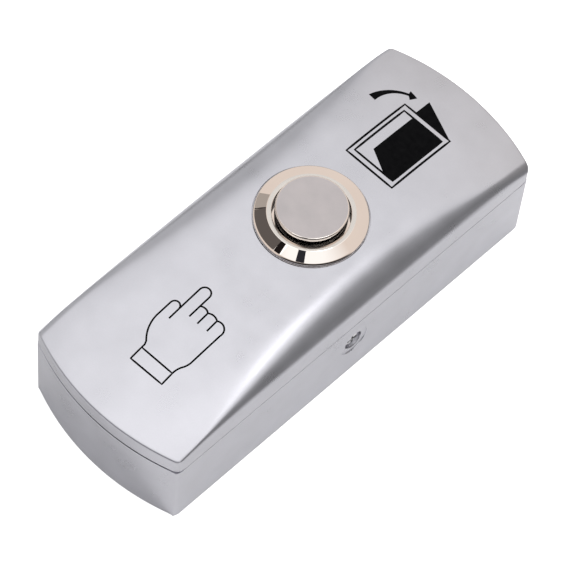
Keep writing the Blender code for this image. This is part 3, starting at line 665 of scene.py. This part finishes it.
# %% Crown block
rim_round = 0.3 * MM
rim_rows = [0.55 * MM, 0.9 * MM, 1.4 * MM]
dense_from = 2.0 * MM
inner_corner = 0.6 * MM


def round_corner(x, y, inset):
    """Pull a point that lies out in a corner onto the corner's rounding."""
    radius = corner_round - inset if inset < MM else inner_corner
    bow = bow_radius - inset
    corner_x = half_width - inset - radius
    rise = sqrt((bow - radius) ** 2 - corner_x ** 2)
    dx = abs(x) - corner_x
    dy = abs(y) - bow_centre - rise
    angle = atan2(dy, dx)
    if not 0 < angle < atan2(rise, corner_x):
        return x, y
    ux = cos(angle)
    uy = sin(angle)
    along = corner_x * ux + rise * uy
    to_bow = -along + sqrt(along ** 2 - corner_x ** 2 - rise ** 2 + bow ** 2)
    pull = radius / min(radius / ux, to_bow)
    return copysign(corner_x + dx * pull, x), copysign(bow_centre + rise + dy * pull, y)


def grid_lines(half):
    """Half the grid lines, from the middle out, repeated on both sides."""
    return [-place for place in reversed(half[1:])] + half


def crown_block(name, inset, bottom, middle, sides, rows):
    """A closed block under the crown, with its lines dense over the wider shoulder."""
    flat = half_width - left_shoulder
    half = [flat * i / middle for i in range(middle)]
    half += [flat + (left_shoulder - inset) * sin(pi / 2 * i / sides) for i in range(sides + 1)]
    xs = grid_lines(half)
    ends = [rim_round * (1 - cos(pi / 2 * i / 5)) for i in range(6)] + rim_rows
    half = [(i / rows) * (1 - dense_from / half_length) for i in range(rows + 1)]
    half += [1 - distance / half_length for distance in reversed(ends)]
    lines = grid_lines(half)
    nothing_selected()
    bpy.ops.mesh.primitive_grid_add(x_subdivisions=len(xs) - 1, y_subdivisions=len(lines) - 1, size=2)
    piece = bpy.context.object
    piece.name = name
    for vertex in piece.data.vertices:
        line = lines[round((vertex.co.y + 1) / 2 * (len(lines) - 1))]
        flat_x = xs[round((vertex.co.x + 1) / 2 * (len(xs) - 1))]
        x, y = round_corner(flat_x, line * end_reach(flat_x, inset), inset)
        roll = max(rim_round - (1 - abs(line)) * half_length, 0.0)
        drop = rim_round - sqrt(rim_round ** 2 - roll ** 2)
        vertex.co = (x, y, crown_height(x, y, inset) - drop)
    enter("EDIT")
    bpy.ops.mesh.select_all(action="SELECT")
    bpy.ops.mesh.region_to_loop()
    bpy.ops.mesh.extrude_edges_move(TRANSFORM_OT_translate={"value": (0, 0, -MM)})
    bpy.ops.transform.resize(value=(1, 1, 0), center_override=(0, 0, bottom))
    bpy.ops.mesh.edge_face_add()
    bpy.ops.mesh.select_all(action="SELECT")
    bpy.ops.mesh.normals_make_consistent(inside=False)
    enter("OBJECT")
    return piece


seam_line = seam_height + 0.12 * MM
cover = crown_block("cover", 0.0, seam_line, middle=5, sides=22, rows=48)
print("cover", tuple(round(v / MM, 2) for v in cover.dimensions), "mm")

# %% [markdown]
# The cover's lower edge is eased where it meets the box, and lifted a little at the two ends, where
# the seam is wider on the real casting. The block is then cut into triangles, because a curved face
# with four corners can fold when a Boolean cuts it.

# %% Lower edge of the cover
edge_round = 0.08 * MM
edge_band = 0.1 * MM
lift, lift_start, lift_length = 0.3 * MM, 36.5 * MM, 2 * MM


def into_triangles(piece):
    pick(piece)
    enter("EDIT")
    bpy.ops.mesh.select_all(action="SELECT")
    bpy.ops.mesh.quads_convert_to_tris()
    enter("OBJECT")


select_edges(cover, lambda a, b: max(a.z, b.z) < seam_line + HAIR)
round_selected(edge_round, 2)
for vertex in cover.data.vertices:
    if vertex.co.z < seam_line + edge_band:
        end_share = min(1.0, max(0.0, (abs(vertex.co.y) - lift_start) / lift_length))
        vertex.co.z += lift * end_share
into_triangles(cover)
print("cover now has", len(cover.data.polygons), "triangles")

# %% [markdown]
# The rest of the cover is plain casting work. A lip drops into the box, the inside is hollowed to an
# even wall, two lugs hang down for the side screws and a pad inside backs the nut. A turned cutter
# then makes the seat and the hole of the switch.

# %% Cover
lip_top = seam_height + 1.7 * MM
lip_inset = wall + 0.25 * MM
lip_wall = 1.1 * MM
lug_gap, lug_thickness = 1.25 * MM, 1.6 * MM
lug_half, lug_drop, lug_round = 4 * MM, 3 * MM, 0.5 * MM
pad_radius = 11.2 * MM
# For the lathe, in millimetres
panel_hole, seat_flange, seat_edge, pad_cut = 8.25, 9.3, 9.05, 10.6

cut(cover, outline_block("lip", lip_inset, lip_bottom, lip_top + 0.2 * MM), "UNION")
hollow = crown_block("hollow", wall, lip_top, middle=3, sides=6, rows=14)
into_triangles(hollow)
cut(cover, hollow)
cut(cover, outline_block("throat", lip_inset + lip_wall, lip_bottom - MM, lip_top + 0.1 * MM))
lug_outer = half_width - wall - lug_gap
lug_inner = lug_outer - lug_thickness
for side in (-1, 1):
    lug_x = sorted((side * lug_inner, side * lug_outer))
    lug = block("lug", (lug_x[0], screw_y - lug_half, screw_z - lug_drop),
                (lug_x[1], screw_y + lug_half, lip_top - 0.3 * MM))
    select_edges(lug, lambda a, b: max(a.z, b.z) < screw_z)
    round_selected(lug_round, 2)
    cut(cover, lug, "UNION")
pad = drum("nut_pad", pad_radius, seat_height - 2.0 * MM, seat_height - 0.2 * MM,
           (0, switch_y), sides=72)
cut(cover, pad, "UNION")
seat = turned("switch_seat", [
    (0, -5.6), (pad_cut, -5.6), (pad_cut, -2), (panel_hole, -2), (panel_hole, -0.85), (seat_edge, 0),
    (seat_flange, 0), (seat_flange, 4), (0, 4)], steps=128)
seat.location = (0, switch_y, seat_height)
settle(seat)
cut(cover, seat)
bore = drum("bore", screw_hole * MM, -lug_outer - 0.1 * MM, lug_outer + 0.1 * MM, sides=32)
bore.rotation_euler = (0, pi / 2, 0)
bore.location = (0, screw_y, screw_z)
settle(bore)
cut(cover, bore)
smooth(cover, 32)
dress(cover, satin_zinc, "satin_zinc", "housing", "cover_shell")

# %% [markdown]
# The switch is turned from brass bar and plated bright. The flange has a low straight edge, a sloping
# face and a flat ring round the button. Its edges are eased by a hair, which makes the bright lines
# round a polished part. The ring keeps the fine marks of the lathe, so it gets its own finish. The
# inside faces of the barrel are painted nearly black, as painted shade for the deep gap round the cap.

# %% Barrel and flange
def at_switch(piece):
    piece.location = (0, switch_y, seat_height)
    settle(piece)


# For the lathe, in millimetres
ring_inner, ring_outer = 6.25, 7.05
edge_radius, edge_top = 8.9, 1.05
flange_radius, flange_foot = 9.1, 0.25
barrel_radius, barrel_foot, bore_radius = 7.95, -11.09, 7.0
barrel = turned("switch_barrel_bright", [
    (ring_inner, flange_foot), (ring_inner, flange_height), (ring_outer, flange_height),
    (edge_radius, edge_top), (flange_radius, 0.85), (flange_radius, flange_foot), (7.4, flange_foot),
    (7.4, -0.85), (barrel_radius, -0.85), (barrel_radius, -10.7), (7.55, barrel_foot),
    (bore_radius, barrel_foot), (bore_radius, -4.3), (6.65, -4.3), (6.65, flange_foot)], steps=160)
soften(barrel, width=0.07 * MM, segments=3, limit=15)
at_switch(barrel)
smooth(barrel, 25)
dress(barrel, polished_nickel, "bright_steel", "housing", "switch_barrel")
barrel.data.materials.append(turned_nickel)
barrel.data.materials.append(painted_shade_bore)
ring_top = seat_height + flange_height * MM - HAIR
inside = 6.9 * MM
for face in barrel.data.polygons:
    out = (face.center.xy - Vector((0, switch_y))).length
    if face.center.z > ring_top:
        face.material_index = 1
    # The inside faces get the nearly black paint, painted shade for the gap round the cap.
    elif out < inside and face.normal.z < 0.3:
        face.material_index = 2

# %% [markdown]
# The sloping face of the flange shows sharp dark and pale bands in the photo. So dim cards hang round
# the switch, as a product photographer would hang them. Each is placed by the mirror law: from the
# camera to a spot on the slope, reflected about the slope's normal, and out along that line. Satin
# metal would smear such a card into a grey cloud, so a card shows itself only to the singular rays
# that come from a mirror-sharp face.

# %% Mirror cards
slope = atan2(flange_height - edge_top, edge_radius - ring_outer)
spot_radius, spot_height = 8 * MM, 1.4 * MM
card_reach, card_width = 0.07, 0.03


def slope_sees(degrees):
    """The place that the sloping face mirrors at this angle round the switch."""
    angle = radians(degrees)
    around = Vector((cos(angle), sin(angle), 0))
    normal = around * sin(slope) + Vector((0, 0, cos(slope)))
    spot = Vector((0, switch_y, seat_height + spot_height)) + around * spot_radius
    return spot + (spot - camera.location).normalized().reflect(normal) * card_reach


def mirror_card(name, start, end, colour):
    """A card that fills the mirrored stretch between two angles."""
    a, b = slope_sees(start), slope_sees(end)
    middle = (a + b) / 2
    along_card = (b - a).normalized()
    facing = Vector((0, switch_y, seat_height)) - middle
    across_card = facing.cross(along_card).normalized()
    facing = along_card.cross(across_card)
    nothing_selected()
    bpy.ops.mesh.primitive_plane_add(size=1)
    card = bpy.context.object
    card.name = name
    turn = Matrix((along_card, across_card, facing)).transposed()
    card.matrix_world = Matrix.LocRotScale(middle, turn, Vector(((b - a).length, card_width, 1)))
    paper = bpy.data.materials.new(name)
    paper.use_nodes = True
    tree = paper.node_tree
    tree.nodes.remove(tree.nodes["Principled BSDF"])
    glow = add_node(tree, "Emission")
    feed(glow.inputs["Color"], (*colour, 1))
    choose = add_node(tree, "MixShader")
    feed(choose.inputs[0], add_node(tree, "LightPath").outputs["Is Singular Ray"])
    feed(choose.inputs[1], add_node(tree, "BsdfTransparent").outputs[0])
    feed(choose.inputs[2], glow.outputs[0])
    feed(tree.nodes["Material Output"].inputs["Surface"], choose.outputs[0])
    card.data.materials.append(paper)
    card.visible_camera = card.visible_diffuse = card.visible_shadow = False
    print(name, "at", tuple(round(v, 3) for v in middle))


mirror_card("pale_card", 201, 220, (0.4, 0.36, 0.33))
mirror_card("seam_card", 220, 221.5, (0.02, 0.016, 0.015))
mirror_card("dim_card", 221.5, 274, (0.115, 0.1, 0.094))
mirror_card("black_card", 274, 281.5, (0.012, 0.009, 0.009))
mirror_card("small_card", 299, 308, (0.025, 0.025, 0.03))

# %% [markdown]
# The cap is a turned cup with a polished rounded edge and a satin top. Both finishes are on one piece:
# the flat faces on top get the satin finish and everything else stays polished.

# %% Button cap
# For the lathe, in millimetres
cap_radius, cap_height, cap_inside = 5.8, 3.25, 4.7
collar_radius, collar_foot, cap_ceiling = 6.35, -0.9, 2.05
cap = turned("button_cap_bright", [
    (0, cap_ceiling), (cap_inside, cap_ceiling), (cap_inside, collar_foot),
    (collar_radius, collar_foot), (collar_radius, 0), (cap_radius, 0), (cap_radius, cap_height),
    (0, cap_height)], steps=144)


def on_top_edge(a, b):
    high = min(a.z, b.z) > (cap_height - 0.01) * MM
    return high and min(a.xy.length, b.xy.length) > (cap_radius - 0.1) * MM


select_edges(cap, on_top_edge)
round_selected(0.22 * MM, 5)
at_switch(cap)
smooth(cap, 25)
dress(cap, polished_nickel, "satin_steel", "button", "button_cap")
cap.data.materials.append(satin_steel)
cap_top = max(v.co.z for v in cap.data.vertices)
for face in cap.data.polygons:
    face.material_index = 1 if face.center.z > cap_top - HAIR else 0
print("satin faces:", sum(face.material_index for face in cap.data.polygons))

# %% [markdown]
# A small screw is sunk in each long side. Both come from one loop. The screw is turned with a domed
# head, and a small post, its four sides pushed out into a cross, cuts the recess for the driver.

# %% Side screws
cross_half, cross_reach = 0.24 * MM, 0.76 * MM
recess_floor = 0.4 * MM
head_sink = 1.35 * MM
for side, name in ((1, "side_screw_right"), (-1, "side_screw_left")):
    screw = turned(name + "_plated", [
        (0, -3.4), (0.8, -3.4), (1.0, -3.2), (1.0, 0), (1.6, 0), (1.6, 0.5), (1.35, 0.8), (0.9, 0.9),
        (0, 0.9)], steps=48)
    cross = block("cross", (-cross_half, -cross_half, recess_floor), (cross_half, cross_half, 2 * MM))
    enter("EDIT")
    bpy.ops.mesh.select_mode(type="FACE")
    enter("OBJECT")
    for face in cross.data.polygons:
        face.select = abs(face.normal.z) < 0.5
    enter("EDIT")
    bpy.ops.mesh.extrude_faces_move(TRANSFORM_OT_shrink_fatten={"value": cross_reach})
    enter("OBJECT")
    cut(screw, cross)
    screw.rotation_euler = (0, side * pi / 2, 0)
    screw.location = (side * (half_width - head_sink), screw_y, screw_z)
    settle(screw)
    smooth(screw, 35)
    dress(screw, plated_screw, "plated_screw", "housing", name)

# %% [markdown]
# The working parts are out of sight until the button is taken apart: seal, washer, nut, stem, contacts
# and terminals. Their CAD shapes are right as they are, so each keeps its solid and gets the finish of
# its real material. A solid's own material slot takes the new paint, and nothing else of it is touched.

# %% Finishes of the working parts
black_rubber = finish("black_rubber", (0.018, 0.018, 0.019), (0.035, 0.035, 0.036), metallic=0.0,
                      rough=(0.62, 0.8), grain_sizes=(0.08, 2), bump=0.006)
black_plastic = finish("black_plastic", (0.014, 0.014, 0.015), (0.028, 0.028, 0.03), metallic=0.0,
                       rough=(0.38, 0.5), grain_sizes=(0.15, 3), bump=0.004)
white_plastic = finish("white_plastic", (0.72, 0.71, 0.67), (0.8, 0.79, 0.75), metallic=0.0,
                       rough=(0.35, 0.45), grain_sizes=(0.2, 3), bump=0.003)
nut_metal = finish("nut_metal", (0.5, 0.49, 0.47), (0.62, 0.61, 0.59),
                   rough=(0.25, 0.4), grain_sizes=(0.2, 3), bump=0.003)
spring_steel = finish("spring_steel", (0.42, 0.42, 0.43), (0.58, 0.58, 0.58),
                      rough=(0.18, 0.3), grain_sizes=(0.1, 2), bump=0.001)
brass = finish("brass", (0.68, 0.47, 0.19), (0.8, 0.59, 0.28),
               rough=(0.2, 0.34), grain_sizes=(0.15, 3), bump=0.0015)
contact_metal = finish("contact_metal", (0.72, 0.43, 0.28), (0.84, 0.54, 0.38),
                       rough=(0.16, 0.28), grain_sizes=(0.15, 2), bump=0.001)
working_parts = {
    black_rubber: ["flange_seal"],
    black_plastic: ["guide_bush", "switch_base"],
    white_plastic: ["plunger_stem"],
    nut_metal: ["hex_nut"],
    spring_steel: ["contact_spring", "contact_clip"],
    plated_screw: ["lock_washer"] + [kind + pole for kind in ("clamp_plate_", "terminal_screw_")
                                     for pole in ("common", "open")],
    brass: ["terminal_common", "terminal_open"],
    contact_metal: ["moving_contact", "fixed_contact_common", "fixed_contact_open"],
}
for paint, nodes in working_parts.items():
    for node in nodes:
        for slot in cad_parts[node].material_slots:
            slot.material = paint
    print(paint.name, "on", len(nodes))

# %% [markdown]
# The return spring shortens when the cap goes in. Here it is wound anew: a point walks along the coil,
# and the line is given a round section. The first and last turns lie nearly flat, as on a spring
# whose ends are ground to stand straight.

# %% Return spring
def thicken(radius, resolution):
    """Turn the active walked line into a round wire."""
    bpy.ops.object.convert(target="CURVE")
    curve = bpy.context.object
    curve.data.bevel_depth = radius
    curve.data.bevel_resolution = resolution
    curve.data.use_fill_caps = True
    bpy.ops.object.convert(target="MESH")
    return bpy.context.object


spring_low, spring_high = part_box("return_spring")
spring_length = spring_high[2] - spring_low[2]
wire_radius = 0.22 * MM
coil_radius = (spring_high[0] - spring_low[0]) / 2 - wire_radius
coil_turns = 5
points_per_turn = 24
coil_rise = spring_length - 2 * wire_radius
flat_rise = 2.4 * wire_radius / coil_rise


def spring_point(turn):
    """The place on the coil after this many turns."""
    if turn < 1:
        share = flat_rise * turn
    elif turn > coil_turns - 1:
        share = 1 - flat_rise * (coil_turns - turn)
    else:
        share = flat_rise + (1 - 2 * flat_rise) * (turn - 1) / (coil_turns - 2)
    angle = 2 * pi * turn
    return (coil_radius * cos(angle), switch_y + coil_radius * sin(angle),
            spring_low[2] + wire_radius + coil_rise * share)


coil_steps = range(points_per_turn * coil_turns + 1)
walk("return_spring_wound", [spring_point(i / points_per_turn) for i in coil_steps])
spring = thicken(wire_radius, 3)
smooth(spring, 60)
dress(spring, spring_steel, "spring_steel", "housing", "return_spring")
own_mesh(spring)
print("spring", round(spring_length / MM, 2), "mm long")

# %% [markdown]
# The two pictograms are screen prints: a pointing hand below the switch and an opening door above it.
# A stencil is cut in flat lines and arcs, so the drawing is made flat in the same way, with its places
# in millimetres. An arc is given by its two ends and by how far it bulges.

# %% Arcs
def arc(start, end, bulge, points=8):
    """Points from start to end along an arc that bulges to the left of the way by this much."""
    a, b = Vector(start), Vector(end)
    half_chord = (b - a).length / 2
    radius = (half_chord ** 2 + bulge ** 2) / (2 * abs(bulge))
    left = Vector((-(b - a).y, (b - a).x)).normalized() * copysign(1, bulge)
    centre = (a + b) / 2 + left * (abs(bulge) - radius)
    sweep = (b - centre).angle_signed(a - centre)
    if abs(bulge) > half_chord:
        sweep -= copysign(2 * pi, sweep)
    turns = [Matrix.Rotation(sweep * i / points, 2) for i in range(points + 1)]
    return [tuple(centre + turn @ (a - centre)) for turn in turns]


print("a quarter arc:", [tuple(round(v, 2) for v in p) for p in arc((1, 0), (0, 1), -0.29, 2)])

# %% [markdown]
# Each stroke is walked, given a round section and pressed nearly flat. Each solid shape is a filled
# outline cut into small faces. Then every point is lifted to the crown's own height, so the ink
# follows the curve. A picture on the surface would be easier, but real ink has an edge and a gloss,
# and shapes keep both.

# %% Printing tools
ink = finish("black_ink", (0.002, 0.002, 0.0025), (0.005, 0.005, 0.0055), metallic=0.0, ior=1.1,
             rough=(0.42, 0.52), grain_sizes=(0.05, 1), bump=0.0008)
ink_lift = 0.006 * MM
film_middle, film_thickness = 0.004 * MM, 0.012 * MM
pressed_flat = 0.12
longest_step = 1.5 * MM


def stroke(places, width, closed=False):
    """A printed line of this width in millimetres through places on the board."""
    piece = walk("stroke", [(x * MM, y * MM, 0) for x, y in places])
    if closed:
        join_ends(piece)
        enter("OBJECT")
    select_edges(piece, lambda a, b: (a - b).length > longest_step)
    bpy.ops.mesh.subdivide(number_cuts=8)
    enter("OBJECT")
    piece = thicken(width / 2 * MM, 2)
    enter("EDIT")
    bpy.ops.mesh.select_all(action="SELECT")
    bpy.ops.transform.resize(value=(1, 1, pressed_flat), center_override=(0, 0, 0))
    enter("OBJECT")
    return piece


def patch(places):
    """A solid printed shape, filled and cut small enough to follow the crown."""
    piece = walk("patch", [(x * MM, y * MM, film_middle) for x, y in places])
    join_ends(piece)
    bpy.ops.mesh.edge_face_add()
    bpy.ops.mesh.quads_convert_to_tris()
    bpy.ops.mesh.subdivide(number_cuts=6)
    bpy.ops.mesh.normals_make_consistent(inside=False)
    enter("OBJECT")
    modifier = piece.modifiers.new("film", "SOLIDIFY")
    modifier.thickness = film_thickness
    modifier.offset = 0
    apply_modifier(piece, modifier)
    return piece


def print_on_crown(name, marks, place=(0, 0), turn=0.0):
    """Join flat marks to one piece, put it in place and lift every point to the crown."""
    nothing_selected()
    for mark in marks:
        mark.select_set(True)
    bpy.context.view_layer.objects.active = marks[0]
    bpy.ops.object.join()
    piece = bpy.context.object
    piece.name = name
    piece.location = (place[0] * MM, place[1] * MM, 0)
    piece.rotation_euler = (0, 0, radians(turn))
    settle(piece)
    for vertex in piece.data.vertices:
        vertex.co.z += crown_height(vertex.co.x, vertex.co.y, 0.0) + ink_lift
    smooth(piece, 40)
    dress(piece, ink, "black_plastic", "housing")


# %% [markdown]
# The hand points up the cover with one long finger. Its outline is drawn in six strokes, the way a
# sign painter would: the cuff, the palm with the thumb, the pointing finger, three bent fingers, and
# the last of those runs on down the other side of the palm to the wrist.

# %% Hand print
hand_line = 0.3
wrist_left, wrist_right = (-1.83, -29.65), (4.6, -29.36)
palm_left = [wrist_left, (-1.85, -29.0)] + arc((-2.1, -28.45), (-4.12, -23.7), 0.58)
thumb = arc((-4.17, -21.35), (-2.5, -21.1), 0.72)
finger = [(-2.38, -23.43)] + arc((-2.62, -16.7), (-0.58, -16.65), 1.02, 12) + [(-0.42, -21.04)]
knuckles = [arc((-0.49, -18.68), (1.2, -18.68), 0.3) + [(1.32, -21.02)],
            arc((1.2, -18.68), (3.12, -18.6), 0.32) + [(3.26, -20.86)]]
palm_right = arc((3.12, -18.6), (5.26, -20.05), 0.88, 12) + arc((5.37, -26.2), (4.9, -27.75), 0.1)
palm_right += arc((4.9, -27.75), wrist_right, -0.1)[1:]
cuff = [wrist_left, (-1.71, -32.06), (4.75, -31.69), wrist_right]
marks = [stroke(cuff, hand_line, closed=True)]
marks += [stroke(line, hand_line) for line in (palm_left + thumb, finger, *knuckles, palm_right)]
print_on_crown("hand_print", marks)

# %% [markdown]
# The door is a double frame with a solid leaf that stands ajar: the leaf's near edge is drawn slanted
# and its far corner shows as a dark triangle behind the frame. A curved arrow says which way it
# swings. The print sits a little crooked on the cover, as hand-placed stencils do, so the drawing is
# made square and then turned by about two degrees.

# %% Door print
door_line = 0.38
outer_x, outer_y = 4.85, 6.93
inner_x, inner_y = 4.05, 5.86
leaf_x, leaf_foot = -2.15, -3.55
door_place, door_turn = (-0.39, 24.6), 1.9


def rectangle(x, y):
    return [(-x, -y), (-x, y), (x, y), (x, -y)]


leaf = [(leaf_x, inner_y), (inner_x, inner_y), (inner_x, -inner_y), (2.1, -inner_y),
        (leaf_x, leaf_foot)]
leaf_corner = [(-2.55, outer_y), (-2.58, 10.35), (outer_x, outer_y)]
arrow = arc((-10.02, 4.02), (-5.9, 9.1), 0.82, 10) + [(-6.08, 9.7), (-4.38, 9.4), (-4.97, 8.2)]
arrow += arc((-5.61, 8.72), (-8.6, 3.89), -0.92, 10)
marks = [stroke(rectangle(outer_x, outer_y), door_line, closed=True),
         stroke(rectangle(inner_x, inner_y), door_line, closed=True)]
marks += [patch(shape) for shape in (leaf, leaf_corner, arrow)]
print_on_crown("door_print", marks, door_place, door_turn)
